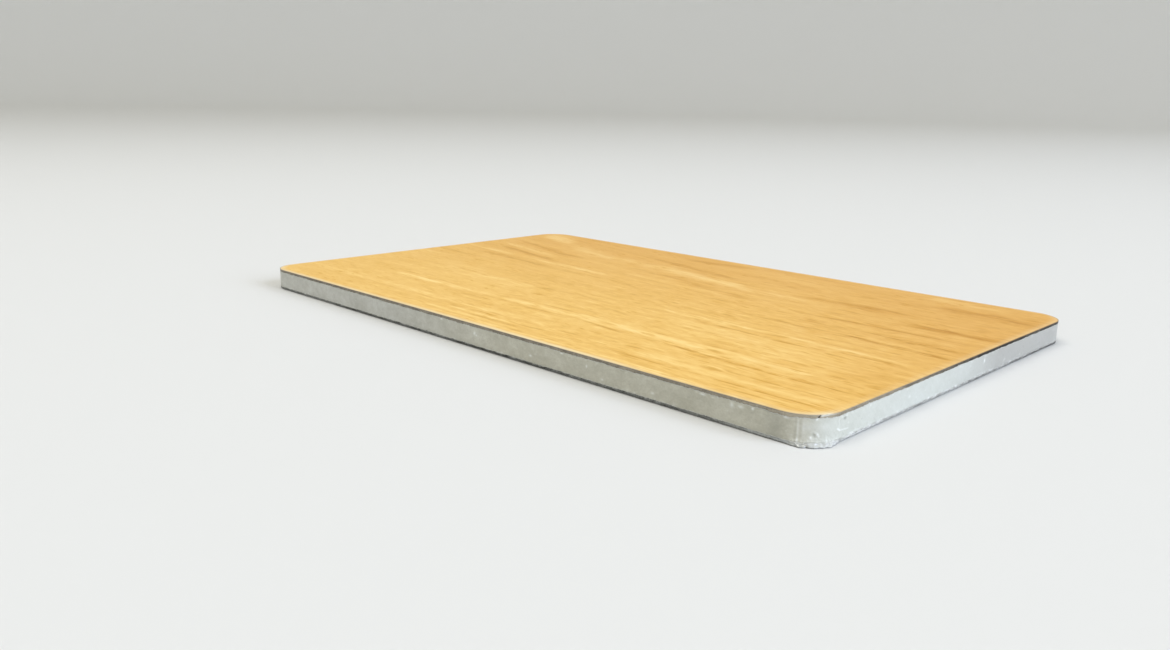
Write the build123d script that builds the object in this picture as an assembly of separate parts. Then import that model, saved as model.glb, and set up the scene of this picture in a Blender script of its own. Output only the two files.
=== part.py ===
from build123d import *
import os

# Aluminium composite panel, a cut sample that lies flat with its wood-grain face up.
# Six sheets are bonded one on another: decor film, face skin, bond film, core, bond film, back skin.
# The frame has +X along the long side and +Z up, with the origin at the centre of the back face.
# All sizes are in millimetres.

# Plan of the panel
LENGTH = 132.0
WIDTH = 83.0
CORNER_RADIUS = 5.5

# Layers, from the back up
BACK_SKIN_THICKNESS = 0.40
BACK_BOND_THICKNESS = 0.07
CORE_THICKNESS = 3.00
FACE_BOND_THICKNESS = 0.07
FACE_SKIN_THICKNESS = 0.40
FILM_THICKNESS = 0.06

# Cut edge: the blade draws the face down at the rim, and leaves the back with a small round
ROLL_WIDTH = 0.50
ROLL_DEPTH = 0.05
BACK_EDGE_ROUND = 0.08

# Heights of the sheets' boundaries above the back face, away from the rim
BACK_SKIN_TOP = BACK_SKIN_THICKNESS
CORE_BOTTOM = BACK_SKIN_TOP + BACK_BOND_THICKNESS
CORE_TOP = CORE_BOTTOM + CORE_THICKNESS
FACE_BOND_TOP = CORE_TOP + FACE_BOND_THICKNESS
FACE_SKIN_TOP = FACE_BOND_TOP + FACE_SKIN_THICKNESS
PANEL_TOP = FACE_SKIN_TOP + FILM_THICKNESS

# Radius of the arc that starts ROLL_WIDTH inside the cut, level with the face,
# and has dropped by ROLL_DEPTH where it reaches the cut
ROLL_RADIUS = (ROLL_WIDTH**2 + ROLL_DEPTH**2) / (2 * ROLL_DEPTH)
# How far that arc would run on outside the panel before it turned vertical
ROLL_OVERHANG = ROLL_RADIUS - ROLL_WIDTH


def plate(bottom, top, grow=0.0):
    """A slab with the panel's rounded outline, grown outward by grow, between two heights."""
    outline = RectangleRounded(
        LENGTH + 2 * grow, WIDTH + 2 * grow, CORNER_RADIUS + grow
    )
    return Pos(0, 0, bottom) * extrude(outline, amount=top - bottom)


def rolled_plate(bottom, top):
    """A slab with the panel's outline, whose top is drawn down at the rim by the cut."""
    domed = plate(bottom - ROLL_RADIUS, top, grow=ROLL_OVERHANG)
    rim = domed.faces().sort_by(Axis.Z)[-1].edges()
    return fillet(rim, ROLL_RADIUS) & plate(bottom, top)


def flat_sheet(bottom, top):
    """A sheet in the lower half of the panel, flat on both faces."""
    return plate(bottom, top)


def rolled_sheet(bottom, top):
    """A sheet in the upper half of the panel, whose two faces both follow the rolled rim."""
    return rolled_plate(bottom - ROLL_DEPTH, top) - rolled_plate(
        bottom - 2 * ROLL_DEPTH, bottom
    )


def back_skin():
    """Aluminium sheet on the back, with a small round on its lower edge."""
    sheet = flat_sheet(0, BACK_SKIN_TOP)
    lower_rim = sheet.faces().sort_by(Axis.Z)[0].edges()
    return fillet(lower_rim, BACK_EDGE_ROUND)


def core():
    """Mineral-filled plastic core, flat below and drawn down at the rim above."""
    return rolled_plate(CORE_BOTTOM, CORE_TOP)


SHEETS = {
    "back_skin": back_skin(),
    "back_bond_film": flat_sheet(BACK_SKIN_TOP, CORE_BOTTOM),
    "core": core(),
    "face_bond_film": rolled_sheet(CORE_TOP, FACE_BOND_TOP),
    "face_skin": rolled_sheet(FACE_BOND_TOP, FACE_SKIN_TOP),
    "wood_grain_film": rolled_sheet(FACE_SKIN_TOP, PANEL_TOP),
}

os.makedirs("parts", exist_ok=True)
for name, sheet in SHEETS.items():
    export_step(sheet, f"parts/{name}.step")
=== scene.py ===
import math

import bpy
import numpy as np
from mathutils import Matrix, Vector
from mathutils.geometry import delaunay_2d_cdt


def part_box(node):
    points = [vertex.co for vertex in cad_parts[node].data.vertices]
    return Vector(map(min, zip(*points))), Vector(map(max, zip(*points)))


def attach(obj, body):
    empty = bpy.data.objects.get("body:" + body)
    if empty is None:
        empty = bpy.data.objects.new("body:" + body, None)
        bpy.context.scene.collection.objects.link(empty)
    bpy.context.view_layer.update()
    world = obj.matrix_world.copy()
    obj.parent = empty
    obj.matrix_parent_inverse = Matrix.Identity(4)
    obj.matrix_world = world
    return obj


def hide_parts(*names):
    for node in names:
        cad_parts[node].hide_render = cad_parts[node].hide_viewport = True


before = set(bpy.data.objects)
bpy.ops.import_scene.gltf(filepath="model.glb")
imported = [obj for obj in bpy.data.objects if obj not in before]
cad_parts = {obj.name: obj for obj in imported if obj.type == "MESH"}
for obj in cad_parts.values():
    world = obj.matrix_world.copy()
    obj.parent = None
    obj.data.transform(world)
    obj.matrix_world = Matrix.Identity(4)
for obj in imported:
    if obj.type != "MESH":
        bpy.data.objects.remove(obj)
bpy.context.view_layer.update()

# The panel is six bonded sheets. Each one is built here as a closed mesh with the marks of its cut,
# in millimetres, and scaled to metres when its object is made.
MM = 0.001

# Sheets from the back up, and the record's material slot of each
SHEETS = {
    "back_skin": "back_skin",
    "back_bond_film": "bond_film",
    "core": "core",
    "face_bond_film": "bond_film",
    "face_skin": "face_skin",
    "wood_grain_film": "wood_grain_film",
}


def box_mm(node):
    """A CAD node's lowest and highest corners in millimetres."""
    low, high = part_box(node)
    return Vector(low) / MM, Vector(high) / MM


# Sizes of the panel, from the frame but for the radius of its corners
CORE_LOW, CORE_HIGH = box_mm("core")
LENGTH = CORE_HIGH.x - CORE_LOW.x
WIDTH = CORE_HIGH.y - CORE_LOW.y
CORNER_RADIUS = 5.5
PERIMETER = 2 * (LENGTH + WIDTH - 4 * CORNER_RADIUS) + 2 * math.pi * CORNER_RADIUS

# Rolled rim: how wide it is, and how deep the cut drew the face down
ROLL_WIDTH = 0.50
ROLL_DEPTH = CORE_HIGH.z - box_mm("face_bond_film")[0].z
ROLL_RADIUS = (ROLL_WIDTH**2 + ROLL_DEPTH**2) / (2 * ROLL_DEPTH)

# The back skin's lower edge: its round, and the height at which its marks have their full size
BACK_EDGE_ROUND = 0.08
BACK_EDGE_FADE = 0.05

# Places round the cut are given as a distance along the outline from the middle of the front
# corner (+X, -Y), positive towards +Y. Stations are closer together near that corner.
FINE_REACH = 14.0
FINE_STEP = 0.09
STEP = 0.20

# Distances from the cut of the rings that a sheet's flat sides have before their middle starts:
# on the face that shows, and on all the others
RIM_RINGS = (0.0, 0.03, 0.08, 0.15, 0.24, 0.36, 0.50, 0.80, 1.40)
HIDDEN_RINGS = (0.0, 0.08, 0.20, 0.34, 0.50, 0.90)

# How far in a mark of the cut still moves the rings, how far in a seam is still ragged,
# and how far in a sheet still has the values that its material reads
MARK_DEPTH = 0.50
RAGGED_DEPTH = 0.15
VALUE_DEPTH = 0.85

# The flat middle: the step of its grid, how far the grid stays inside a round corner,
# and the inset given to its points, which is larger than that of any ring
MIDDLE_GRID = 3.0
MIDDLE_MARGIN = 1.0
MIDDLE_INSET = 10.0


def stations():
    """Distances along the outline, closed, at which every ring has a point."""
    fine = np.arange(-FINE_REACH, FINE_REACH, FINE_STEP)
    coarse = np.arange(FINE_REACH, PERIMETER - FINE_REACH, STEP)
    return np.concatenate([fine, coarse])


ALONG = stations()


def outline(along):
    """Points of the panel's outline, and the outward normals there."""
    half_x = LENGTH / 2 - CORNER_RADIUS
    half_y = WIDTH / 2 - CORNER_RADIUS
    quarter = CORNER_RADIUS * math.pi / 2
    corners = ((half_x, -half_y), (half_x, half_y), (-half_x, half_y), (-half_x, -half_y))
    runs = (2 * half_y, 2 * half_x, 2 * half_y, 2 * half_x)
    rest = (np.asarray(along) + quarter / 2) % PERIMETER
    points = np.zeros((len(rest), 2))
    normals = np.zeros((len(rest), 2))
    start = 0.0
    for turn, (corner, run) in enumerate(zip(corners, runs)):
        first = (turn - 1) * math.pi / 2
        here = (rest >= start) & (rest <= start + quarter + run)
        into = rest[here] - start
        angle = first + np.minimum(into, quarter) / CORNER_RADIUS
        normal = np.stack([np.cos(angle), np.sin(angle)], 1)
        ahead = np.array([-math.sin(first + math.pi / 2), math.cos(first + math.pi / 2)])
        straight = np.maximum(into - quarter, 0.0)[:, None]
        points[here] = np.array(corner) + CORNER_RADIUS * normal + straight * ahead
        normals[here] = normal
        start += quarter + run
    return points, normals


EDGE, NORMAL = outline(ALONG)


def distance_from(place):
    """Signed distance along the outline from a place to each station, the short way round."""
    return (ALONG - place + PERIMETER / 2) % PERIMETER - PERIMETER / 2


def roll_drop(inset):
    """How far the rolled rim lies below the face at a distance from the cut."""
    reach = max(ROLL_WIDTH - inset, 0.0)
    return ROLL_RADIUS - math.sqrt(ROLL_RADIUS**2 - reach**2)


def ripple(seed, waves, along_range, height_range, height):
    """A smooth random field of about unit size at every station, closed round the outline.

    The ranges give the shortest and longest wavelength along the cut and up its height."""
    pick = np.random.default_rng(seed)
    field = np.zeros(len(ALONG))
    for _ in range(waves):
        length = math.exp(pick.uniform(*np.log(along_range)))
        count = max(1, round(PERIMETER / length))
        tall = math.exp(pick.uniform(*np.log(height_range))) * pick.choice((-1, 1))
        phase = pick.uniform(0, 2 * math.pi)
        field += np.sin(2 * math.pi * (ALONG * count / PERIMETER + height / tall) + phase)
    return field * math.sqrt(2 / waves)


def spots(marks, height):
    """The sum of soft round spots at every station, at a height.

    A mark is (along, height, along radius, height radius, size)."""
    field = np.zeros(len(ALONG))
    for place, level, reach, tall, size in marks:
        far = (distance_from(place) / reach) ** 2 + ((height - level) / tall) ** 2
        field += size * np.exp(-far * 2)
    return field


def scattered(seed, count, levels, sizes, low, high, places=(0.0, PERIMETER), stretches=(1.0, 2.2)):
    """Spots at random places along the cut.

    The ranges are of height, height radius, size outward, place, and length over height."""
    pick = np.random.default_rng(seed)
    marks = []
    for _ in range(count):
        size = pick.uniform(*sizes)
        wide = size * pick.uniform(*stretches)
        place, level = pick.uniform(*places), pick.uniform(*levels)
        marks.append((place, level, wide, size, pick.uniform(low, high)))
    return marks


def seam_list():
    """The seams from the underside up to the face, as (height, depth of roll, raggedness, seed).

    Both seams of a bond film are ragged alike, so that the film keeps its thickness."""
    heights = [box_mm(node)[1].z for node in SHEETS]
    return [
        (0.0, 0.0, 0.0, 0),
        (heights[0], 0.0, 0.045, 11),
        (heights[1], 0.0, 0.045, 11),
        (heights[2], ROLL_DEPTH, 0.060, 12),
        (heights[3], ROLL_DEPTH, 0.060, 12),
        (heights[4], ROLL_DEPTH, 0.008, 13),
        (heights[5], ROLL_DEPTH, 0.006, 14),
    ]


def seam_height(seam, inset):
    """Height of a seam at every station, at a distance from the cut."""
    level, rolled, ragged, seed = seam
    drop = roll_drop(inset) if rolled else 0.0
    fade = max(0.0, 1 - inset / RAGGED_DEPTH)
    if not ragged or not fade:
        return np.full(len(ALONG), level - drop)
    slow = ripple(seed, 30, (2.0, 14.0), (5.0, 9.0), 0.0)
    quick = ripple(seed + 100, 40, (0.35, 1.6), (5.0, 9.0), 0.0)
    return level - drop + ragged * fade * (0.5 * slow + 0.5 * quick)


# Marks of the core's cut as the photo shows them, most of them near the front corner.
# Each is (along, height, along radius, height radius, size outward)
CORE_PITS = [
    (0.14, 1.44, 0.28, 0.22, -0.05),
    (0.28, 1.24, 0.24, 0.2, -0.04),
    (5.18, 2.88, 0.46, 0.24, -0.12),
    (3.3, 0.42, 0.17, 0.15, -0.1),
]
CORE_LIPS = [
    (-0.26, 1.04, 0.2, 0.22, 0.11),
    (-0.05, 0.86, 0.24, 0.09, 0.03),
    (0.42, 0.9, 0.26, 0.1, 0.04),
    (0.76, 1.18, 0.15, 0.16, 0.05),
    (0.58, 1.42, 0.22, 0.2, 0.1),
    (0.36, 1.64, 0.24, 0.12, 0.05),
    (-0.06, 1.74, 0.3, 0.09, 0.02),
    (5.46, 3.14, 0.34, 0.12, 0.06),
]
# Rows of overlapping marks make the long scratches, streaks and grooves. The streaks are also painted
# pale as highlights and the grooves dark as shade, where the corner's facets catch or lose the light
CORE_SCRATCH = [(3.78 + 0.01 * i, 3.1 - 0.15 * i, 0.12, 0.16, 0.012) for i in range(9)]
CORE_SCRATCH += [(3.48 + 0.09 * i, 1.86 - 0.05 * i, 0.16, 0.13, 0.046) for i in range(7)]
CORE_SCRATCH += [(4.12 + 0.17 * i, 1.55 - 0.014 * i, 0.2, 0.1, 0.026) for i in range(12)]
CORE_STREAKS = [(-1.8, 0.3 + 0.35 * i, 0.18, 0.4, 0.01) for i in range(9)]
CORE_STREAKS += [(-1.8, 0.3 + 0.2 * i, 0.16, 0.24, 0.004) for i in range(4)]
CORE_STREAKS += [(-1.12, 0.6 + 0.35 * i, 0.3, 0.4, 0.006) for i in range(9)]
CORE_STREAKS += [(-2.65, 0.3, 0.12, 0.3, 0.03), (-2.25, 0.4, 0.12, 0.26, 0.03)]
CORE_GROOVES = [(-2.1, 0.6 + 0.35 * i, 0.16, 0.4, -0.01) for i in range(9)]
CORE_GROOVES += [(-1.48, 0.6 + 0.35 * i, 0.13, 0.4, -0.006) for i in range(9)]
CORE_GROOVES += [(-4.7, 0.5 + 0.35 * i, 2.1, 0.5, -0.017) for i in range(10)]
CORE_SPECKS = [
    (0.42, 3.39, 0.16, 0.13, 0.1),
    (-3.4, 3.3, 0.4, 0.18, 0.04),
    (-8.1, 3.2, 0.3, 0.3, 0.04),
    (-9.9, 3.0, 0.6, 0.26, 0.03),
    (-11.3, 2.95, 0.4, 0.5, 0.03),
    (-16.0, 3.2, 0.6, 0.2, 0.04),
    (-24.5, 1.3, 0.4, 0.24, 0.03),
    (-34.0, 1.1, 0.34, 0.22, 0.03),
    (-37.2, 2.4, 0.2, 0.3, 0.04),
    (-42.4, 3.28, 0.44, 0.18, 0.05),
    (-49.3, 1.5, 0.38, 0.2, 0.04),
    (-62.4, 2.2, 0.24, 0.18, 0.04),
    (-62.9, 2.45, 0.26, 0.34, 0.05),
    (-71.7, 3.3, 0.36, 0.18, 0.05),
    (22.2, 2.0, 0.4, 0.24, 0.02),
    (46.5, 2.55, 0.28, 0.44, 0.04),
]

# Two pale patches of the corner, painted as highlights
CORE_CORNER_HIGHLIGHTS = [(-0.75, 2.35, 0.95, 0.75, 0.34), (1.5, 2.4, 1.8, 0.9, 0.28)]

# Tufts and crumbs along the core's two borders, and small holes between them
CORE_TOP = CORE_HIGH.z - ROLL_DEPTH
CORE_FOOT = CORE_LOW.z
CORE_TUFTS = scattered(21, 130, (CORE_TOP - 0.26, CORE_TOP), (0.12, 0.24), 0.01, 0.04)
CORE_TUFTS += scattered(22, 210, (CORE_FOOT, CORE_FOOT + 0.25), (0.12, 0.26), 0.01, 0.05)
CORE_TUFTS += scattered(23, 110, (CORE_FOOT + 0.4, CORE_TOP - 0.3), (0.1, 0.24), 0.01, 0.035)
CORE_HOLES = scattered(24, 150, (CORE_FOOT + 0.2, CORE_TOP - 0.2), (0.08, 0.18), -0.04, -0.015)

# At the front corner the blade pulled the foot of the cut outward into a lumpy burr: its ends and
# how soft they are, how far it stands out, how high it reaches and how steeply it falls off.
# Elsewhere it tore pale wisps from the core's lower border, most of them further right
BURR_FROM, BURR_TO, BURR_SOFT = -2.4, 2.9, 2.6
BURR_REACH, BURR_HEIGHT, BURR_FALL = 0.8, 0.48, 1.3
BURR_LUMPS = scattered(33, 44, (0.04, 0.6), (0.08, 0.15), 0.01, 0.03, (-0.4, 3.4))
BURR_LUMPS += [
    (0.1, 0.05, 0.16, 0.12, 0.03),
    (0.62, 0.16, 0.3, 0.12, 0.03),
    (1.05, 0.24, 0.26, 0.14, 0.04),
    (1.5, 0.46, 0.2, 0.15, 0.04),
    (1.8, 0.24, 0.3, 0.14, 0.04),
    (2.3, 0.4, 0.24, 0.13, 0.04),
    (2.75, 0.22, 0.24, 0.12, 0.03),
    (3.66, 0.24, 0.32, 0.2, 0.1),
]
WISPS = scattered(34, 40, (0.16, 0.6), (0.09, 0.16), 0.02, 0.06, (4.6, 15.0), (2.0, 4.5))
WISPS += scattered(35, 60, (0.24, 0.6), (0.08, 0.15), 0.02, 0.05, (15.0, 64.0), (2.0, 6.0))
WISPS += scattered(36, 110, (0.26, 0.54), (0.07, 0.12), 0.01, 0.03, (-125.0, -5.0), (2.0, 6.0))
WISPS += [(18.9, 0.5, 0.9, 0.14, 0.05), (29.8, 0.5, 1.0, 0.14, 0.05), (33.6, 0.48, 1.4, 0.14, 0.06)]
WISPS += [(7.6, 0.19, 0.7, 0.07, 0.05), (9.1, 0.18, 0.8, 0.07, 0.05), (10.6, 0.2, 0.6, 0.07, 0.04)]

# Short tears in the back skin's upper edge, right of the burr, painted dark as their shade, and small
# lumps all along its cut
BACK_NICKS = [
    (7.2, 0.36, 0.36, 0.06, -0.04),
    (8.3, 0.34, 0.44, 0.06, -0.05),
    (9.5, 0.35, 0.34, 0.06, -0.04),
    (10.5, 0.33, 0.5, 0.06, -0.05),
]
FOOT_LUMPS = scattered(31, 150, (0.1, 0.34), (0.1, 0.2), 0.01, 0.04)

# The nick in the face skin, painted dark as its shade, the glints beside it, painted as highlights,
# and small nicks all along the skin's cut
NICK = [(0.6 + 0.07 * i, 3.5 + 0.11 * i, 0.1, 0.13, -0.12) for i in range(5)]
SKIN_GLINTS = [
    (0.4, 3.46, 0.14, 0.12, 0.1),
    (1.1, 3.84, 0.36, 0.2, 0.06),
    (1.7, 3.86, 0.5, 0.13, 0.04),
    (2.7, 3.88, 0.6, 0.07, 0.02),
]
SKIN_NICKS = scattered(41, 90, (3.55, 3.85), (0.06, 0.14), -0.04, -0.015)

# How far back from the outline each cut lies, and how much further the face skin's lower edge does
CORE_BACK, BOND_BACK, BACK_SKIN_BACK, FACE_SKIN_BACK, FACE_SKIN_TORN = 0.02, 0.015, 0.01, 0.005, 0.03

# The stretch of film beside the nick that is rubbed: its ends along the cut, how soft they are,
# and how far the film is worn back
RUBBED_FROM, RUBBED_TO, RUBBED_SOFT, RUBBED_DEPTH = 0.95, 2.6, 0.5, 0.07

# Marks that show in the core's colour as pale or dark, each with the size that shows in full. The
# tufts, specks and scratches are pale torn plastic; the lips, streaks and corner patches are painted
# pale as highlights, and the pits, holes and grooves are painted dark as their shade
CORE_PALE_AND_LIT_MARKS = (
    (CORE_LIPS, 0.07),
    (CORE_SPECKS, 0.038),
    (CORE_SCRATCH, 0.05),
    (CORE_STREAKS, 0.036),
    (CORE_TUFTS, 0.1),
    (CORE_CORNER_HIGHLIGHTS, 1.0),
)
CORE_SHADED_MARKS = ((CORE_PITS, -0.09), (CORE_HOLES, -0.1), (CORE_GROOVES, -0.07))

# Values that change along the cut, as (along, value). Beyond the first and last pair they stay.
# How light the cut of each skin is, from 0, its darkest, to 1, its brightest. Over each cut's own
# metal tone these values are painted reflection and shade along the outline, with a painted
# highlight at the front corner
FACE_SKIN_PAINTED_LIGHT = (
    (-130, 0.56), (-85, 0.54), (-55, 0.56), (-38, 0.66), (-20, 0.72), (-9, 0.74), (-5, 0.66), (-2, 1),
    (2, 1), (4.5, 0.68), (14, 0.72), (22, 0.52), (30, 0.46), (38, 0.24), (46, 0.02), (66, 0),
    (78, 0.04), (120, 0.5),
)
BACK_SKIN_PAINTED_LIGHT = (
    (-120, 0.38), (-100, 0.24), (-40, 0.24), (-20, 0.36), (-8, 0.5), (-4, 0.62), (-2, 0.95),
    (4, 0.95), (24, 0.84), (40, 0.64), (56, 0.42), (75, 0.2), (120, 0.5),
)
# How pale the burr is, more so on its right: pale plastic, and a painted highlight on the surface
# that it turns up to the light
BURR_PALE_AND_HIGHLIGHT = ((-4, 0), (-0.6, 0.08), (0.8, 0.34), (4, 0.5))
# How much painted shade darkens the core's cut, towards the far end of the right side
CORE_FAR_SHADE = ((-6, 0), (31, 0), (40, 0.25), (46, 0.6), (52, 1), (75, 1), (82, 0.5), (100, 0.3))
# How pale the film's rim is painted, as a highlight, and how much of the strip right beside the cut
# takes the face skin's cut tone, as painted shade
RIM_HIGHLIGHT = (
    (-150, 0.4), (-125, 0.85), (-70, 0.9), (-55, 1), (-34, 1), (-26, 0.4), (-14, 0.4), (-7, 0.5),
    (-4, 0.4), (-1, 0.7), (2, 0.9), (5, 0.16), (30, 0.25), (48, 0.38), (75, 0.38), (100, 0.4),
)
CUT_SHADE = ((-120, 0.95), (-6, 0.95), (4, 0.6), (110, 0.6))


def along_cut(pairs):
    """A value given at a few places along the outline, at every station."""
    places, values = zip(*pairs)
    return np.interp(distance_from(0.0), places, values)


def stretch(start, end, soft):
    """1 between two places along the outline, fading to 0 over a soft distance at both ends."""
    middle, reach = (start + end) / 2, (end - start) / 2
    return np.clip((reach - np.abs(distance_from(middle))) / soft + 0.5, 0, 1)


def near_cut(inset, reach):
    """1 up to the first of two distances from the cut, fading to 0 at the second."""
    full, gone = reach
    return np.clip((gone - inset) / (gone - full), 0, 1)


def shown(sized_marks, height):
    """How much of some marks shows at a height: 1 where one has the size that shows in full."""
    return sum(spots(marks, height) / size for marks, size in sized_marks)


def burr_share():
    """1 along the middle of the burr, falling smoothly to 0 past its ends."""
    share = stretch(BURR_FROM, BURR_TO, BURR_SOFT)
    return share * share * (3 - 2 * share)


def burr(height):
    """How far the burr under the front corner stands out at a height."""
    lumpy = 1 + 0.07 * ripple(12, 24, (0.5, 2.0), (0.4, 1.6), height)
    rise = np.exp(-((np.maximum(height, 0.0) / BURR_HEIGHT) ** BURR_FALL))
    return burr_share() * BURR_REACH * rise * lumpy


def burr_pale_with_highlight(height):
    """How pale the burr is at a height, with its lumps and the wisps beside it: partly torn plastic,
    partly a painted highlight where it stands out.
    """
    raised = burr(height) / BURR_REACH * along_cut(BURR_PALE_AND_HIGHLIGHT)
    return raised + shown([(BURR_LUMPS, 0.10), (WISPS, 0.09)], height)


def core_wall(height):
    """Relief of the core's cut: slow waves, mottled grain, pits, tufts and the burr's upper part."""
    waves = 0.010 * ripple(1, 40, (4.0, 40.0), (3.0, 12.0), height)
    mottle = 0.006 * ripple(2, 60, (0.8, 4.0), (0.6, 2.5), height)
    grain = 0.004 * ripple(3, 70, (0.35, 1.0), (0.35, 1.0), height)
    marks = spots(CORE_PITS, height) + spots(CORE_LIPS + CORE_SPECKS, height)
    marks += spots(CORE_SCRATCH + CORE_STREAKS + CORE_GROOVES, height)
    marks += spots(BURR_LUMPS, height)
    torn = spots(CORE_TUFTS + CORE_HOLES + WISPS, height) * (1 - burr_share())
    return -CORE_BACK + waves + mottle + grain + marks + torn + burr(height)


def face_skin_wall(height):
    """Relief of the face skin's cut: torn slightly inward at its lower edge, with fine ribs."""
    low, high = box_mm("face_skin")
    depth = (high.z - ROLL_DEPTH - height) / (high.z - low.z)
    ribs = 0.007 * ripple(4, 90, (0.22, 0.7), (4.0, 9.0), height)
    tear = 0.012 * ripple(5, 60, (0.5, 5.0), (0.3, 1.5), height) * depth
    nicks = spots(NICK + SKIN_NICKS, height)
    return -FACE_SKIN_BACK - FACE_SKIN_TORN * depth**2 + ribs + tear + nicks


def back_skin_wall(height):
    """Relief of the back skin's cut: fine ribs, a round lower edge, the burr and its lumps."""
    ribs = 0.008 * ripple(6, 90, (0.22, 0.7), (4.0, 9.0), height)
    tear = 0.010 * ripple(7, 60, (0.5, 5.0), (0.3, 1.5), height)
    foot = max(BACK_EDGE_ROUND - height, 0.0)
    round_in = BACK_EDGE_ROUND - math.sqrt(BACK_EDGE_ROUND**2 - foot**2)
    fade = min(1.0, height / BACK_EDGE_FADE)
    lumps = spots(FOOT_LUMPS + WISPS + BACK_NICKS, height) * (1 - burr_share())
    lumps += spots(BURR_LUMPS, height)
    return -BACK_SKIN_BACK - round_in + fade * (ribs + tear + lumps) + burr(height)


def bond_wall(height):
    """Relief of a bond film's cut: slightly squeezed in, with a smear."""
    squeezed = -BOND_BACK + 0.010 * ripple(8, 60, (0.4, 6.0), (0.5, 2.0), height)
    return squeezed + burr(height) + spots(BURR_LUMPS + WISPS, height)


def rubbed():
    """How rubbed the film's rim is: 1 in the middle of the rubbed stretch."""
    bite = 0.5 + 0.5 * ripple(10, 12, (0.6, 2.0), (3.0, 6.0), 0.0).clip(-1, 1)
    return stretch(RUBBED_FROM, RUBBED_TO, RUBBED_SOFT) * (0.55 + 0.45 * bite)


def film_wall(height):
    """Relief of the decor film's cut, with the rubbed stretch and the nick."""
    ragged = 0.006 * ripple(9, 60, (0.3, 3.0), (2.0, 6.0), height)
    return ragged - RUBBED_DEPTH * rubbed() + spots(NICK, height)


def even_rows(steps):
    """Shares from 0 to 1 in even steps."""
    return [i / steps for i in range(steps + 1)]


# Each sheet's relief of the cut, as a function of the height, and the shares of its thickness
# at which the cut has a ring of points
BACK_SKIN_ROWS = (0.0, 0.05, 0.12, 0.2, 0.3, 0.4, 0.5, 0.6, 0.7, 0.8, 0.9, 1.0)
CUTS = {
    "back_skin": (back_skin_wall, BACK_SKIN_ROWS),
    "back_bond_film": (bond_wall, even_rows(2)),
    "core": (core_wall, even_rows(28)),
    "face_bond_film": (bond_wall, even_rows(2)),
    "face_skin": (face_skin_wall, even_rows(7)),
    "wood_grain_film": (film_wall, even_rows(2)),
}


def middle_cap(inset):
    """Triangles that fill the outline inside an inset: the ring's own points and a loose grid."""
    ring = EDGE - inset * NORMAL
    half_x = LENGTH / 2 - inset - MIDDLE_GRID / 2
    half_y = WIDTH / 2 - inset - MIDDLE_GRID / 2
    columns = round(2 * half_x / MIDDLE_GRID)
    rows = round(2 * half_y / MIDDLE_GRID)
    round_reach = CORNER_RADIUS - inset - MIDDLE_MARGIN
    inner = []
    for x in np.linspace(-half_x, half_x, columns + 1):
        for y in np.linspace(-half_y, half_y, rows + 1):
            over_x = abs(x) - (LENGTH / 2 - CORNER_RADIUS)
            over_y = abs(y) - (WIDTH / 2 - CORNER_RADIUS)
            if over_x <= 0 or over_y <= 0 or math.hypot(over_x, over_y) < round_reach:
                inner.append((x, y))
    points = [Vector(p) for p in (*ring, *inner)]
    count = len(ring)
    edges = [(i, (i + 1) % count) for i in range(count)]
    inside_only, same_point = 1, 1e-7
    made, _, faces, *_ = delaunay_2d_cdt(points, edges, [], inside_only, same_point)
    if len(made) != len(points):
        raise ValueError("the cap's triangulation changed its points")
    faces = np.array(faces)
    a, b, c = (np.array(made)[faces[:, i]] for i in range(3))
    turn = (b - a)[:, 0] * (c - a)[:, 1] - (b - a)[:, 1] * (c - a)[:, 0]
    faces[turn < 0] = faces[turn < 0][:, ::-1]
    return np.array(inner), faces


def ring_points(inset, height):
    """A ring of the mesh: every station moved in from the outline, at a height."""
    flat = EDGE - np.reshape(inset, (-1, 1)) * NORMAL
    return np.column_stack([flat, np.broadcast_to(height, len(ALONG))])


def sheet_rings(node, below, above, top_rings):
    """The rings of a sheet between two seams, from its underside round its cut to its top.

    Gives their points and the inset of each point."""
    wall, rows = CUTS[node]
    foot = wall(float(below[0]))
    head = wall(float(above[0] - above[1]))
    rings = []
    for inset in reversed(HIDDEN_RINGS[1:]):
        blend = max(0.0, 1 - inset / MARK_DEPTH)
        rings.append((inset - foot * blend, seam_height(below, inset)))
    bottom, top = seam_height(below, 0.0), seam_height(above, 0.0)
    for share in rows:
        height = bottom + share * (top - bottom)
        rings.append((-wall(float(height.mean())), height))
    for inset in top_rings[1:]:
        blend = max(0.0, 1 - inset / MARK_DEPTH)
        rings.append((inset - head * blend, seam_height(above, inset)))
    points = [ring_points(inset, height) for inset, height in rings]
    insets = [np.broadcast_to(inset, len(ALONG)) for inset, _ in rings]
    return np.concatenate(points), np.concatenate(insets)


def sheet_mesh(node, below, above, top_rings):
    """Points, faces and the inset of each point for one sheet between two seams."""
    points, inset_of = sheet_rings(node, below, above, top_rings)
    count = len(ALONG)
    rings = len(points) // count
    here = np.arange(count)
    after = np.roll(here, -1)
    ring = np.column_stack([here, after, after + count, here + count])
    quads = np.concatenate([ring + i * count for i in range(rings - 1)])

    tris = []
    for number, inset, flip in ((0, HIDDEN_RINGS[-1], True), (rings - 1, top_rings[-1], False)):
        inner, faces = middle_cap(inset)
        level = points[number * count, 2]
        start = len(points)
        points = np.concatenate([points, np.column_stack([inner, np.full(len(inner), level)])])
        inset_of = np.concatenate([inset_of, np.full(len(inner), MIDDLE_INSET)])
        own = np.where(faces < count, faces + number * count, faces - count + start)
        tris.append(own[:, ::-1] if flip else own)
    return points, quads, np.concatenate(tris), inset_of


def new_object(name, data):
    """An object for some data, linked to the scene."""
    made = bpy.data.objects.new(name, data)
    bpy.context.scene.collection.objects.link(made)
    return made


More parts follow.
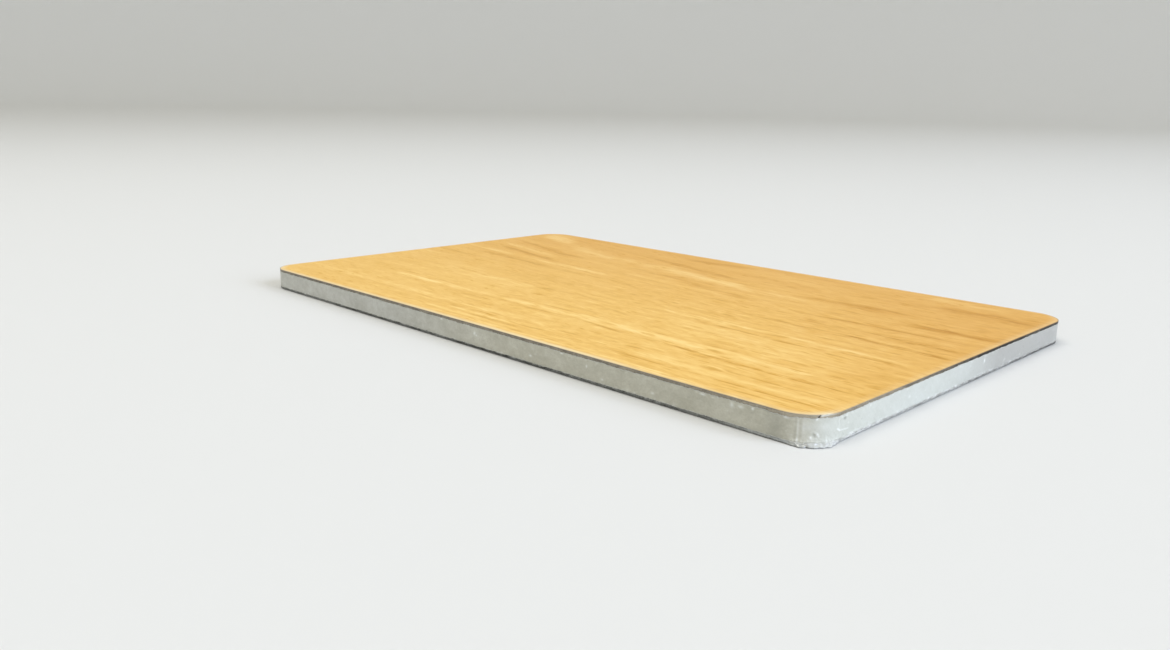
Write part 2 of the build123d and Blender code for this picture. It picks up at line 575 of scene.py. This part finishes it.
def mesh_object(name, points, quads, tris, values):
    """Makes an object from millimetre points, with a float attribute for each named value."""
    mesh = bpy.data.meshes.new(name)
    mesh.from_pydata((points * MM).tolist(), [], quads.tolist() + tris.tolist())
    for key, numbers in values.items():
        made = mesh.attributes.new(key, "FLOAT", "POINT")
        made.data.foreach_set("value", np.asarray(numbers, dtype=np.float32))
    mesh.shade_smooth()
    mesh.validate()
    return new_object(name, mesh)


# Values on the meshes that the materials read, as functions of the height. They are held
# between 0 and 1
# The light values are painted reflection and shade along the cut, the dark values are painted shade
# in hollows, and the pale values are partly painted highlight
VALUES = {
    "back_bond_film": {"pale": burr_pale_with_highlight},
    "back_skin": {
        "light": lambda height: along_cut(BACK_SKIN_PAINTED_LIGHT),
        "pale": burr_pale_with_highlight,
        "dark": lambda height: shown([(BACK_NICKS, -0.05)], height),
    },
    "core": {
        "pale": lambda height: shown(CORE_PALE_AND_LIT_MARKS, height) + burr_pale_with_highlight(height),
        "dark": lambda height: shown(CORE_SHADED_MARKS, height),
        "far_shade": lambda height: along_cut(CORE_FAR_SHADE),
    },
    "face_skin": {
        "light": lambda height: along_cut(FACE_SKIN_PAINTED_LIGHT),
        "pale": lambda height: shown([(SKIN_GLINTS, 0.05)], height),
        "dark": lambda height: shown([(NICK, -0.10)], height),
    },
    "wood_grain_film": {
        "rim": lambda height: along_cut(RIM_HIGHLIGHT),
        "cut_shade": lambda height: along_cut(CUT_SHADE),
        "rubbed": lambda height: rubbed(),
        "light": lambda height: along_cut(FACE_SKIN_PAINTED_LIGHT),
    },
}
# How far in from the cut the film still shows a value in full, and where it is gone
VALUE_REACH = {"rim": (0.24, 1.44), "cut_shade": (0.045, 0.195), "rubbed": (0.128, 0.448)}


def ring_value(name, function, height, inset):
    """One value at every point of a ring."""
    value = function(height)
    if name in VALUE_REACH:
        value = value * near_cut(inset, VALUE_REACH[name])
    return value.clip(0, 1)


def point_values(node, points, inset):
    """The values that a sheet's material reads, at every point of its mesh."""
    count = len(ALONG)
    rings = np.count_nonzero(inset < MIDDLE_INSET) // count
    made = {}
    for name, function in VALUES.get(node, {}).items():
        made[name] = np.zeros(len(points))
        for ring in range(rings):
            own = slice(ring * count, (ring + 1) * count)
            if inset[own].min() < VALUE_DEPTH:
                made[name][own] = ring_value(name, function, points[own, 2], inset[own])
    return made


# Materials

def tone(red, green, blue):
    """A colour as it looks on screen, 0 to 255, as the linear colour that shaders take."""
    def linear(value):
        value /= 255
        return value / 12.92 if value <= 0.04045 else ((value + 0.055) / 1.055) ** 2.4
    return (linear(red), linear(green), linear(blue), 1.0)


class Shader:
    """A material's node tree, with short calls for the nodes that it uses."""

    # A mix node's sockets for the share, the first and the second colour, and for its colour
    MIX_INPUTS = (0, 6, 7)
    MIX_OUTPUT = 2

    def __init__(self, name):
        self.material = bpy.data.materials.new(name)
        self.material.use_nodes = True
        self.tree = self.material.node_tree
        self.tree.nodes.clear()
        self.output = self.tree.nodes.new("ShaderNodeOutputMaterial")

    def feed(self, socket, value):
        """Links a socket to another node's output, or sets its own value."""
        if isinstance(value, bpy.types.NodeSocket):
            self.tree.links.new(value, socket)
        else:
            socket.default_value = value

    def node(self, kind, inputs, **settings):
        """Adds a node with its settings and its inputs."""
        made = self.tree.nodes.new(kind)
        for key, value in settings.items():
            setattr(made, key, value)
        for key, value in inputs.items():
            self.feed(made.inputs[key], value)
        return made

    def math(self, operation, *values, clamp=False):
        """The result of one sum on values."""
        inputs = dict(enumerate(values))
        return self.node("ShaderNodeMath", inputs, operation=operation, use_clamp=clamp).outputs[0]

    def times(self, first, second):
        """The product of two values."""
        return self.math("MULTIPLY", first, second)

    def times_add(self, first, second, third):
        """The product of two values, plus a third."""
        return self.math("MULTIPLY_ADD", first, second, third)

    def total(self, *values):
        """The sum of several values."""
        made = values[0]
        for value in values[1:]:
            made = self.math("ADD", made, value)
        return made

    def place_mm(self):
        """The point's x, y and z in millimetres."""
        where = self.node("ShaderNodeTexCoord", {}).outputs["Object"]
        scaled = self.node("ShaderNodeVectorMath", {0: where, "Scale": 1 / MM}, operation="SCALE")
        return tuple(self.node("ShaderNodeSeparateXYZ", {0: scaled.outputs[0]}).outputs)

    def noise(self, x, y, z, sizes, detail=2, rough=0.5, seed=0):
        """Noise about 0.5 whose blotches have the given sizes in millimetres."""
        shrunk = [self.math("DIVIDE", part, size) for part, size in zip((x, y, z), sizes)]
        shrunk[2] = self.math("ADD", shrunk[2], seed)
        where = self.node("ShaderNodeCombineXYZ", dict(enumerate(shrunk))).outputs[0]
        inputs = {"Vector": where, "Scale": 1.0, "Detail": detail, "Roughness": rough}
        return self.node("ShaderNodeTexNoise", inputs).outputs["Fac"]

    def signed(self, noise, size):
        """Noise turned into a value either side of 0, about as large as size."""
        return self.times_add(noise, 4 * size, -2 * size)

    def span(self, value, low, high, to_low=0.0, to_high=1.0):
        """Value taken from one range to another, smoothly, and held at its ends."""
        inputs = {"Value": value, "From Min": low, "From Max": high}
        inputs.update({"To Min": to_low, "To Max": to_high})
        made = self.node("ShaderNodeMapRange", inputs, interpolation_type="SMOOTHSTEP")
        return made.outputs["Result"]

    def ramp(self, value, stops):
        """A colour read from a scale of (place, colour) stops."""
        made = self.node("ShaderNodeValToRGB", {"Fac": value})
        elements = made.color_ramp.elements
        while len(elements) < len(stops):
            elements.new(1.0)
        for element, (place, colour) in zip(elements, stops):
            element.position = place
            element.color = colour
        return made.outputs["Color"]

    def mix(self, share, first, second, blend="MIX"):
        """A share of the second colour over the first."""
        inputs = dict(zip(self.MIX_INPUTS, (share, first, second)))
        made = self.node("ShaderNodeMix", inputs, data_type="RGBA", blend_type=blend)
        return made.outputs[self.MIX_OUTPUT]

    def lay(self, colour, over, value, share):
        """Lays one colour over another by a value from 0 to 1, where 1 covers a share of it."""
        return self.mix(self.times(value, share), colour, over)

    def flatness(self):
        """1 where the surface lies flat, falling to 0 where it stands upright."""
        normal = self.node("ShaderNodeNewGeometry", {}).outputs["True Normal"]
        return self.math("ABSOLUTE", self.node("ShaderNodeSeparateXYZ", {0: normal}).outputs[2])

    def value_of(self, attribute):
        """One of the mesh's own float attributes."""
        return self.node("ShaderNodeAttribute", {}, attribute_name=attribute).outputs["Fac"]

    def bump(self, height, distance, strength=1.0):
        """A normal raised by a height from 0 to 1, over a distance in millimetres."""
        inputs = {"Height": height, "Distance": distance * MM, "Strength": strength}
        return self.node("ShaderNodeBump", inputs).outputs["Normal"]

    def finish(self, **inputs):
        """Ends the tree in a principled shader and gives back the material."""
        named = {key.replace("_", " "): value for key, value in inputs.items()}
        made = self.node("ShaderNodeBsdfPrincipled", named)
        self.tree.links.new(made.outputs[0], self.output.inputs["Surface"])
        return self.material


# Colours of the film: its print from dark to light, its pores and flecks, its rim's painted highlight
# and its rubbed rim, and its cut from dark to bright, painted as shade and reflection like the face
# skin's cut
PRINT_TONES = (
    (0.00, tone(207, 153, 50)),
    (0.30, tone(225, 175, 78)),
    (0.52, tone(238, 191, 100)),
    (0.75, tone(247, 206, 121)),
    (1.00, tone(254, 220, 144)),
)
PORE_TONE = tone(206, 148, 30)
FLECK_TONE = tone(255, 222, 142)
RIM_HIGHLIGHT_TONE = tone(246, 240, 214)
RUBBED_TONE = tone(238, 230, 204)
CUT_SHADE_TONES = ((0.0, tone(36, 29, 24)), (1.0, tone(176, 165, 146)))
# The print's middle tone, and its tint at the back, a little darker and more orange: partly the
# print's own tone, partly painted shade where the light falls off towards the back right
PRINT_LEVEL = 0.54
FAR_TINT_AND_SHADE = (0.88, 0.785, 0.68, 1.0)

# The print's layers of noise: (length along the grain, thickness across it, detail, roughness,
# seed, tone either side of the middle)
GRAIN_LAYERS = {
    "broad": (95, 9, 2, 0.5, 1, 0.06),
    "bands": (30, 2.4, 3, 0.6, 2, 0.11),
    "lines": (6.5, 0.95, 2, 0.5, 4, 0.06),
    "fibres": (1.8, 0.30, 2, 0.5, 5, 0.05),
    "threads": (15, 0.24, 1, 0.5, 17, 0.06),
    "clouds": (9, 6, 3, 0.6, 6, 0.08),
    "patches": (3.4, 1.3, 2, 0.6, 13, 0.15),
}

# The marks of the grain that the eye finds first are listed one by one, in the plane of the face:
# (x, y, slope, half length, half width, tone), where a tone below 0 is darker. Areas are broad
# and soft. Streaks are narrow, dark and broken up along their length
GRAIN_AREAS = (
    (-57, 34.8, -0.35, 9, 2.4, 0.46),
    (-35, 25.5, -0.3, 16, 2.4, 0.24),
    (-1, 20.8, -0.2, 18, 2, 0.4),
    (21, 16.9, -0.03, 11, 1.4, 0.24),
    (12, 34.5, -0.15, 20, 4, 0.12),
    (-46, 20.6, -0.23, 20, 1.6, -0.25),
    (-45, 13, -0.22, 14, 1.1, -0.34),
    (-50, 17.3, -0.2, 15, 0.9, 0.22),
    (-56, 10.2, -0.1, 13, 0.9, 0.26),
    (-26, 7.8, -0.04, 15, 1, 0.3),
    (-41, 5.3, -0.09, 15, 1, -0.28),
    (36, 20.6, 0.06, 14, 1.5, -0.22),
    (55, 31.2, -0.13, 11, 2.2, -0.26),
    (61, 30.6, -0.1, 7, 2.2, -0.12),
    (58, 13.7, 0, 11, 1.3, -0.4),
    (48, 8, 0, 20, 0.9, -0.3),
    (38, -9.5, -0.015, 28, 0.8, 0.34),
    (36, -16.4, -0.1, 24, 2.8, 0.1),
    (40, -17.2, -0.085, 26, 0.7, 0.16),
    (-32, -14, -0.12, 22, 3.6, 0.12),
    (-22, -12.7, -0.05, 9, 1, 0.14),
    (30, -24.8, -0.01, 44, 1.7, 0.22),
    (-17, -24.3, 0, 26, 0.9, 0.22),
    (-37, -24.6, -0.03, 9, 0.9, 0.24),
    (-26, -32.9, 0, 40, 0.9, 0.2),
    (-4, -36.2, -0.02, 11, 0.5, 0.26),
    (-8, -38.1, -0.01, 10, 0.5, 0.2),
    (47, -34.7, -0.01, 22, 0.9, 0.14),
    (18, -39.9, -0.008, 44, 0.4, 0.22),
    (62, -24, 0, 8, 7, -0.12),
    (9, 12.4, -0.22, 15, 1.3, -0.24),
    (-10, 16.2, -0.1, 10, 1.1, -0.18),
    (-7, 11.3, -0.05, 8, 1, 0.16),
    (-19, 23.2, -0.3, 8, 2, 0.15),
    (12, 29.5, -0.1, 14, 1.6, -0.13),
    (49, 37.6, 0, 10, 2, 0.26),
    (-58, 1.5, -0.1, 10, 0.9, -0.16),
    (-58, -2.4, 0, 12, 0.9, 0.14),
    (-6, 36.6, 0.05, 11, 1.5, -0.22),
)
GRAIN_STREAKS = (
    (1, -26.2, 0, 9, 0.4, -0.36),
    (17.8, -26.8, -0.1, 7.5, 0.36, -0.56),
    (38, -27.8, -0.07, 15, 0.44, -0.68),
    (57, -28.8, -0.02, 10, 0.42, -0.66),
    (5, -22.7, -0.01, 17, 0.4, -0.42),
    (32, -23.1, 0, 13, 0.28, -0.36),
    (61, -23.5, -0.04, 6, 0.36, -0.5),
    (46, -21.2, -0.08, 10, 0.3, -0.34),
    (36, -1, -0.06, 9, 0.5, -0.48),
    (55.5, -2.2, -0.088, 13, 0.6, -0.6),
    (37, -12.3, -0.06, 15, 0.5, -0.54),
    (56, -11.5, 0, 7, 0.45, -0.5),
    (37.8, 3.6, -0.15, 2.4, 0.8, -0.36),
    (56, 2.6, -0.07, 11, 0.8, -0.5),
    (-7, 27.4, -0.23, 19, 1, -0.46),
    (27.5, -32.4, -0.04, 4.6, 0.4, -0.48),
    (54, -32.7, -0.02, 14, 0.34, -0.44),
    (12, -36, -0.03, 14, 0.36, -0.4),
    (33, -36.8, -0.03, 10.5, 0.4, -0.46),
    (55, -37, -0.02, 15, 0.32, -0.5),
    (56.5, -39.1, -0.02, 10, 0.3, -0.44),
    (-3.2, -35, 0, 5, 0.38, -0.42),
    (1.5, -37.3, -0.01, 9, 0.38, -0.44),
    (-11, -34.7, 0, 3.2, 0.34, -0.36),
    (-42, -22.4, -0.035, 16, 0.4, -0.32),
    (-56.8, -27.3, -0.35, 2.4, 0.5, -0.34),
    (-14, 3.5, -0.05, 18, 0.8, -0.26),
)

# A placed mark is gone at this multiple of its half width, starts to fade at this share of its
# half length, and follows this share of the grain's wander
MARK_SIDE = 1.6
MARK_END = 0.45
MARK_BEND = 0.22


def flat_noise(n, x, y, length, thick, detail, seed, rough=0.5):
    """Noise in the plane of the face, in blotches of a length along x and a thickness along y."""
    return n.noise(x, y, 0, (length, thick, 1), detail, rough, seed)


def grain_height(n, x, y):
    """The distance across the grain, whose level lines are the grain's lines, and its wander.

    The grain leans and bows more towards the back."""
    lift = n.span(y, -28.0, 28.0)
    lean = n.times(x, n.times_add(lift, 0.07, 0.03))
    bow = n.times(n.times(x, x), n.times(lift, -0.0006))
    slow = n.signed(flat_noise(n, x, y, 75, 24, 1, 3.1), 1.3)
    quick = n.signed(flat_noise(n, x, y, 11, 4.5, 2, 7.7), 0.32)
    tiny = n.signed(flat_noise(n, x, y, 3.6, 1.6, 1, 8.8), 0.13)
    return n.total(y, lean, bow, slow, quick, tiny), n.total(slow, quick)


def placed_mark(n, x, y, mark, thick):
    """Tone of one placed mark: full along its middle, fading to its sides and its ends."""
    x_mid, y_mid, slope, reach, width, depth = mark
    run = n.math("SUBTRACT", x, x_mid)
    off = n.math("SUBTRACT", y, n.times_add(run, slope, y_mid))
    near = n.math("DIVIDE", n.math("ABSOLUTE", off), thick)
    body = n.span(near, MARK_SIDE * width, 0.0, 0.0, depth)
    return n.times(body, n.span(n.math("ABSOLUTE", run), reach, MARK_END * reach))


def placed_marks(n, x, y, across, wander):
    """Tone of all placed marks: of uneven width, the areas streaky and the dark streaks broken up."""
    bent = n.times_add(wander, MARK_BEND, y)
    thick = n.times(flat_noise(n, x, y, 9, 3, 2, 20), 2)
    dark = [placed_mark(n, x, bent, mark, thick) for mark in GRAIN_STREAKS]
    areas = [placed_mark(n, x, bent, mark, thick) for mark in GRAIN_AREAS]
    broken = n.span(flat_noise(n, x, y, 4, 0.5, 2, 40), 0.34, 0.62)
    streaky = n.span(flat_noise(n, x, across, 7, 1.1, 2, 41), 0.32, 0.62, 0.42, 1.45)
    areas = n.times(n.total(*areas), streaky)
    return n.times_add(n.total(*dark), broken, areas)


def grain_layers(n, x, y, across):
    """The layers of the print by name. All but the clouds follow the grain's lines."""
    made = {}
    for name, (length, thick, detail, rough, seed, depth) in GRAIN_LAYERS.items():
        height = y if name == "clouds" else across
        made[name] = n.signed(flat_noise(n, x, height, length, thick, detail, seed, rough), depth)
    return made


def strokes(n, x, across, length, thick, start, full, seed):
    """Sparse strokes along the grain: 1 where the noise passes from start to full."""
    return n.span(flat_noise(n, x, across, length, thick, 1.5, seed), start, full)


def print_tone(n, x, y, across, wander, layers):
    """How light the print is, from 0 to 1. Its strokes are livelier towards the front right."""
    busy = n.span(flat_noise(n, x, across, 20, 6, 2, 12), 0.35, 0.65, -0.08, -0.36)
    thin = n.times(strokes(n, x, across, 3.8, 0.90, 0.40, 0.20, 14), busy)
    wide = n.times(strokes(n, x, across, 7, 1.90, 0.40, 0.22, 15), -0.36)
    light = n.times(strokes(n, x, across, 7, 1.10, 0.58, 0.78, 16), 0.26)
    lively = n.span(n.times_add(y, -0.5, x), -40.0, 25.0, 0.45, 1.0)
    lively = n.times(lively, n.span(y, 32.0, -8.0, 0.62, 1.0))
    small = [layers[name] for name in ("lines", "fibres", "patches")]
    loose = n.times(n.total(thin, wide, light, *small), lively)
    large = [layers[name] for name in ("broad", "bands", "clouds", "threads")]
    return n.total(PRINT_LEVEL, *large, loose, placed_marks(n, x, y, across, wander))


def pores_and_flecks(n, x, across):
    """Dark pores where the grain crowds, and light flecks where it doesn't."""
    crowd = flat_noise(n, x, across, 34, 3, 2, 9)
    long_ticks = flat_noise(n, x, across, 3.6, 0.46, 1.5, 8)
    short_ticks = flat_noise(n, x, across, 2, 0.34, 1, 10)
    pores = n.times(n.span(long_ticks, 0.60, 0.68), n.span(crowd, 0.42, 0.58))
    flecks = n.times(n.span(short_ticks, 0.60, 0.70), n.span(crowd, 0.62, 0.44))
    return pores, flecks


def film_at_cut(n, colour):
    """The film's colour with its rim's painted highlight, its cut and the strip beside it painted in
    the face skin's cut tone as shade, and the rubbed stretch.
    """
    colour = n.lay(colour, RIM_HIGHLIGHT_TONE, n.value_of("rim"), 0.50)
    flat = n.flatness()
    cut = n.ramp(n.value_of("light"), CUT_SHADE_TONES)
    shaded = n.math("MAXIMUM", n.span(flat, 0.8, 0.5), n.value_of("cut_shade"))
    colour = n.mix(shaded, colour, cut)
    return n.lay(colour, RUBBED_TONE, n.value_of("rubbed"), 0.80)


def wood_grain():
    """Printed wood grain under a satin clear coat, paler at the film's cut as a painted highlight."""
    n = Shader("wood_grain_film")
    x, y, _ = n.place_mm()
    across, wander = grain_height(n, x, y)
    layers = grain_layers(n, x, y, across)
    colour = n.ramp(print_tone(n, x, y, across, wander, layers), PRINT_TONES)
    pores, flecks = pores_and_flecks(n, x, across)
    colour = n.lay(colour, PORE_TONE, pores, 0.40)
    colour = n.lay(colour, FLECK_TONE, flecks, 0.28)
    # The far tint and its painted shade come sooner on the right, and along uneven clouds
    right = n.times(n.math("MAXIMUM", n.math("SUBTRACT", x, 30.0), 0.0), 0.8)
    drift = n.total(y, right, n.times(layers["clouds"], 120.0))
    colour = n.mix(n.span(drift, -30.0, 52.0), colour, FAR_TINT_AND_SHADE, "MULTIPLY")
    colour = film_at_cut(n, colour)
    relief = n.total(layers["fibres"], layers["threads"], n.times(pores, -0.35))
    gloss = n.times_add(layers["bands"], 0.10, 0.46)
    return n.finish(
        Base_Color=colour,
        Roughness=n.times_add(pores, 0.12, gloss),
        Specular_IOR_Level=0.25,
        Normal=n.bump(relief, 0.012),
    )


# Across these x the front corner turns into the right side, whose cut is smoother, and painted paler
# and cooler as the lit side
RIGHT_FROM, RIGHT_TO = 63.0, 65.9
# Colours of the core's cut: the plastic from dark to light, the right side's painted light, the
# painted shade towards the far end, torn plastic and painted highlights, and the painted shade of
# the hollow marks
CORE_TONES = ((0.0, tone(174, 174, 164)), (0.5, tone(198, 198, 191)), (1.0, tone(221, 223, 218)))
LIT_SIDE_TONE = tone(200, 210, 205)
FAR_SHADE_TONE = tone(150, 146, 142)
TORN_AND_HIGHLIGHT_TONE = tone(236, 238, 235)
HOLLOW_SHADE_TONE = tone(118, 119, 112)
# The long sides' cut is a little warmer towards the right
WARM_TINT = (0.977, 0.953, 0.868, 1.0)


def core_plastic():
    """Pale grey filled plastic as a blade leaves it: matte and mottled, with tufts and pits, and
    painted light and shade.
    """
    n = Shader("core")
    x, y, z = n.place_mm()
    cloud = n.noise(x, y, z, (4.5, 4.5, 3), 2, seed=1)
    mottle = n.noise(x, y, z, (1.3, 1.3, 0.9), 3, 0.6, seed=2)
    fleck = n.noise(x, y, z, (0.34, 0.34, 0.28), 3, 0.6, seed=3)
    uneven = n.total(n.signed(cloud, 0.20), n.signed(mottle, 0.17), n.signed(fleck, 0.14))
    right = n.span(x, RIGHT_FROM, RIGHT_TO)
    calm = n.times_add(right, -0.45, 1.0)
    colour = n.ramp(n.times_add(uneven, calm, 0.5), CORE_TONES)
    cool = n.times(right, n.span(y, -38.0, -15.0, 0.55, 1.0))
    warm = n.times(n.span(x, -25.0, 15.0), n.math("SUBTRACT", 1.0, cool))
    colour = n.mix(warm, colour, WARM_TINT, "MULTIPLY")
    # Painted light: the lit right side paler and cooler
    colour = n.lay(colour, LIT_SIDE_TONE, right, 0.30)
    # Painted shade, darker towards the far end of the right side
    colour = n.lay(colour, FAR_SHADE_TONE, n.value_of("far_shade"), 0.60)
    # Pale: torn plastic and painted highlights. Dark: painted shade in pits, holes and grooves
    colour = n.lay(colour, TORN_AND_HIGHLIGHT_TONE, n.value_of("pale"), 0.85)
    colour = n.lay(colour, HOLLOW_SHADE_TONE, n.value_of("dark"), 0.60)
    fine = n.noise(x, y, z, (0.24, 0.24, 0.16), 3, 0.65, seed=4)
    return n.finish(
        Base_Color=colour,
        Roughness=n.times_add(mottle, 0.20, 0.50),
        Specular_IOR_Level=0.35,
        Normal=n.bump(fine, 0.02, 0.5),
    )


# Colours of the skins: each one's cut from dark to bright, as its painted reflection and shade pick,
# plastic smear and painted highlights over it, the painted shade in its nicks, and the service coat
# on the flat sides, with how dark it gets in places
BACK_SKIN_TONES = ((0.0, tone(66, 66, 62)), (1.0, tone(196, 198, 196)))
FACE_SKIN_TONES = ((0.0, tone(36, 29, 24)), (1.0, tone(180, 172, 156)))
SMEAR_AND_HIGHLIGHT_TONE = tone(208, 210, 204)
NICK_SHADE_TONE = tone(40, 38, 36)
COAT_TONE = tone(186, 188, 187)
COAT_DARKEST = 0.80
COAT_TONES = ((0.0, tuple(COAT_DARKEST * part for part in COAT_TONE[:3]) + (1.0,)), (1.0, COAT_TONE))


def cut_aluminium(name, tones, seed):
    """Aluminium sheet: cut ribs up its edge, dark smears, and a plain coat on its flat sides."""
    n = Shader(name)
    x, y, z = n.place_mm()
    ribs = n.noise(x, y, z, (0.22, 0.22, 4), 2, 0.6, seed=seed)
    smear = n.noise(x, y, z, (1.6, 1.6, 0.5), 2, 0.6, seed=seed + 1)
    slow = n.noise(x, y, z, (9, 9, 9), 1, 0.5, seed=seed + 2)
    uneven = n.total(n.signed(ribs, 0.12), n.signed(smear, 0.24), n.signed(slow, 0.10))
    # The cut's tone follows its painted reflection and shade along the outline
    cut = n.ramp(n.math("ADD", n.value_of("light"), uneven), tones)
    pale = n.value_of("pale")
    # Pale: plastic smear, painted glints and the burr's painted highlight. Dark: painted shade in
    # nicks
    cut = n.lay(cut, SMEAR_AND_HIGHLIGHT_TONE, pale, 0.9)
    cut = n.lay(cut, NICK_SHADE_TONE, n.value_of("dark"), 0.9)
    faced = n.span(n.flatness(), 0.97, 0.99)
    speck = n.noise(x, y, z, (0.5, 0.5, 0.5), 2, 0.6, seed=seed + 3)
    rolled = n.noise(x, y, z, (38, 0.45, 1), 3, 0.6, seed=seed + 4)
    patchy = n.noise(x, y, z, (26, 11, 1), 3, 0.6, seed=seed + 5)
    worn = n.total(n.signed(speck, 0.10), n.signed(rolled, 0.20), n.signed(patchy, 0.22))
    coated = n.ramp(n.math("ADD", worn, 0.5), COAT_TONES)
    smear_and_highlight = n.math("MULTIPLY", pale, 4.0, clamp=True)
    bare = n.math("SUBTRACT", 1.0, n.math("MAXIMUM", faced, smear_and_highlight))
    return n.finish(
        Base_Color=n.mix(faced, cut, coated),
        Metallic=bare,
        Roughness=n.times_add(n.math("ADD", smear, rolled), 0.14, 0.30),
        Normal=n.bump(n.math("ADD", ribs, n.times(rolled, 0.5)), 0.02, 0.8),
    )


BOND_TONES = ((0.3, tone(186, 186, 178)), (0.7, tone(216, 217, 211)))


def bond_film():
    """Milky adhesive film, with a little smear."""
    n = Shader("bond_film")
    x, y, z = n.place_mm()
    smear = n.noise(x, y, z, (0.8, 0.8, 0.2), 3, 0.6, seed=1)
    # Its burr is pale plastic and a painted highlight
    colour = n.lay(n.ramp(smear, BOND_TONES), TORN_AND_HIGHLIGHT_TONE, n.value_of("pale"), 0.85)
    return n.finish(
        Base_Color=colour,
        Roughness=n.times_add(smear, 0.2, 0.4),
        Specular_IOR_Level=0.4,
        Normal=n.bump(smear, 0.01),
    )


def sheet_materials():
    """The material of each slot in the record."""
    return {
        "back_skin": cut_aluminium("back_skin", BACK_SKIN_TONES, 5.0),
        "bond_film": bond_film(),
        "core": core_plastic(),
        "face_skin": cut_aluminium("face_skin", FACE_SKIN_TONES, 9.0),
        "wood_grain_film": wood_grain(),
    }


def build_sheets():
    """Builds the six sheets, each on its CAD node's place."""
    seams = seam_list()
    materials = sheet_materials()
    for number, (node, slot) in enumerate(SHEETS.items()):
        top_rings = RIM_RINGS if node == "wood_grain_film" else HIDDEN_RINGS
        points, quads, tris, inset = sheet_mesh(node, seams[number], seams[number + 1], top_rings)
        values = point_values(node, points, inset)
        made = mesh_object(f"{node}_sheet", points, quads, tris, values)
        made.data.materials.append(materials[slot])
        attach(made, "root")
        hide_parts(node)


# Stage, lights and camera, in metres

FLOOR_RADII = (0.0, 0.1, 0.3, 0.6, 1.1, 1.7)
SWEEP_RADIUS = 0.8
SWEEP_STEPS = 12
WALL_TOP = 1.5
SPOKES = 96
# How far the floor lies below the panel
FLOOR_GAP = 0.0001


def stage_profile():
    """The floor, the sweep and the wall from the middle outward, as (radius, height)."""
    profile = [(r, -FLOOR_GAP) for r in FLOOR_RADII]
    for step in range(1, SWEEP_STEPS + 1):
        angle = step / SWEEP_STEPS * math.pi / 2
        r = FLOOR_RADII[-1] + SWEEP_RADIUS * math.sin(angle)
        profile.append((r, SWEEP_RADIUS * (1 - math.cos(angle))))
    profile.append((FLOOR_RADII[-1] + SWEEP_RADIUS, WALL_TOP))
    return profile


def stage():
    """A pale floor that sweeps up into a wall all round."""
    profile = stage_profile()
    points, faces = [(0.0, 0.0, -FLOOR_GAP)], []
    for r, z in profile[1:]:
        for spoke in range(SPOKES):
            angle = 2 * math.pi * spoke / SPOKES
            points.append((r * math.cos(angle), r * math.sin(angle), z))
    for spoke in range(SPOKES):
        after = (spoke + 1) % SPOKES
        faces.append((0, 1 + spoke, 1 + after))
        for ring in range(len(profile) - 2):
            low = 1 + ring * SPOKES
            high = low + SPOKES
            faces.append((low + spoke, high + spoke, high + after, low + after))
    mesh = bpy.data.meshes.new("floor")
    mesh.from_pydata(points, [], faces)
    mesh.shade_smooth()
    n = Shader("pale_floor")
    paint = n.finish(Base_Color=tone(226, 226, 224), Roughness=0.8, Specular_IOR_Level=0.2)
    mesh.materials.append(paint)
    new_object("floor", mesh)


# Lamps: (name, direction it stands in, distance, side, watts, colour). The key is cool and stands
# low on the right, and the overhead one is weak and above the front left
LAMPS = (
    ("key", (1.0, 0.25, 0.52), 2.0, 1.2, 28.0, (0.90, 1.0, 1.22)),
    ("overhead", (-0.22, -0.24, 1.0), 0.9, 0.5, 2.5, (1.0, 1.0, 1.0)),
)
# The world round the stage, even and a little warm
WORLD_COLOUR = (1.03, 1.0, 0.88, 1.0)
WORLD_STRENGTH = 0.58


def area_light(name, towards, distance, size, power, colour):
    """A square soft lamp that stands in a direction and faces the origin."""
    data = bpy.data.lights.new(name, "AREA")
    data.shape = "SQUARE"
    data.size = size
    data.energy = power
    data.color = colour
    made = new_object(name, data)
    made.location = Vector(towards).normalized() * distance
    made.rotation_euler = (-made.location).to_track_quat("-Z", "Y").to_euler()


def lights():
    """The lamps and the world."""
    for lamp in LAMPS:
        area_light(*lamp)
    world = bpy.data.worlds.new("studio")
    world.use_nodes = True
    background = world.node_tree.nodes["Background"]
    background.inputs["Color"].default_value = WORLD_COLOUR
    background.inputs["Strength"].default_value = WORLD_STRENGTH
    bpy.context.scene.world = world


# Camera, as fitted to the photo: it stands off the front corner and looks down at a low angle.
# Angles are in degrees, and the lens and its sensor in millimetres
CAMERA_PLACE = (0.121802, -0.138340, 0.041175)
CAMERA_AZIMUTH = 44.346
CAMERA_ELEVATION = 13.570
CAMERA_ROLL = 1.217
CAMERA_LENS = 29.714
CAMERA_SENSOR = 36.0
CAMERA_CLIP = (0.002, 20.0)


def camera():
    """The photo's camera."""
    azimuth, elevation = math.radians(CAMERA_AZIMUTH), math.radians(CAMERA_ELEVATION)
    back = Vector((
        math.sin(azimuth) * math.cos(elevation),
        -math.cos(azimuth) * math.cos(elevation),
        math.sin(elevation),
    ))
    right = (-back).cross(Vector((0, 0, 1))).normalized()
    up = back.cross(right)
    turn = Matrix((right, up, back)).transposed() @ Matrix.Rotation(math.radians(CAMERA_ROLL), 3, "Z")
    data = bpy.data.cameras.new("camera")
    data.sensor_width = CAMERA_SENSOR
    data.lens = CAMERA_LENS
    data.clip_start, data.clip_end = CAMERA_CLIP
    made = new_object("camera", data)
    made.matrix_world = Matrix.Translation(CAMERA_PLACE) @ turn.to_4x4()
    bpy.context.scene.camera = made


camera()
lights()
stage()
build_sheets()
bpy.context.scene.view_settings.view_transform = "Standard"
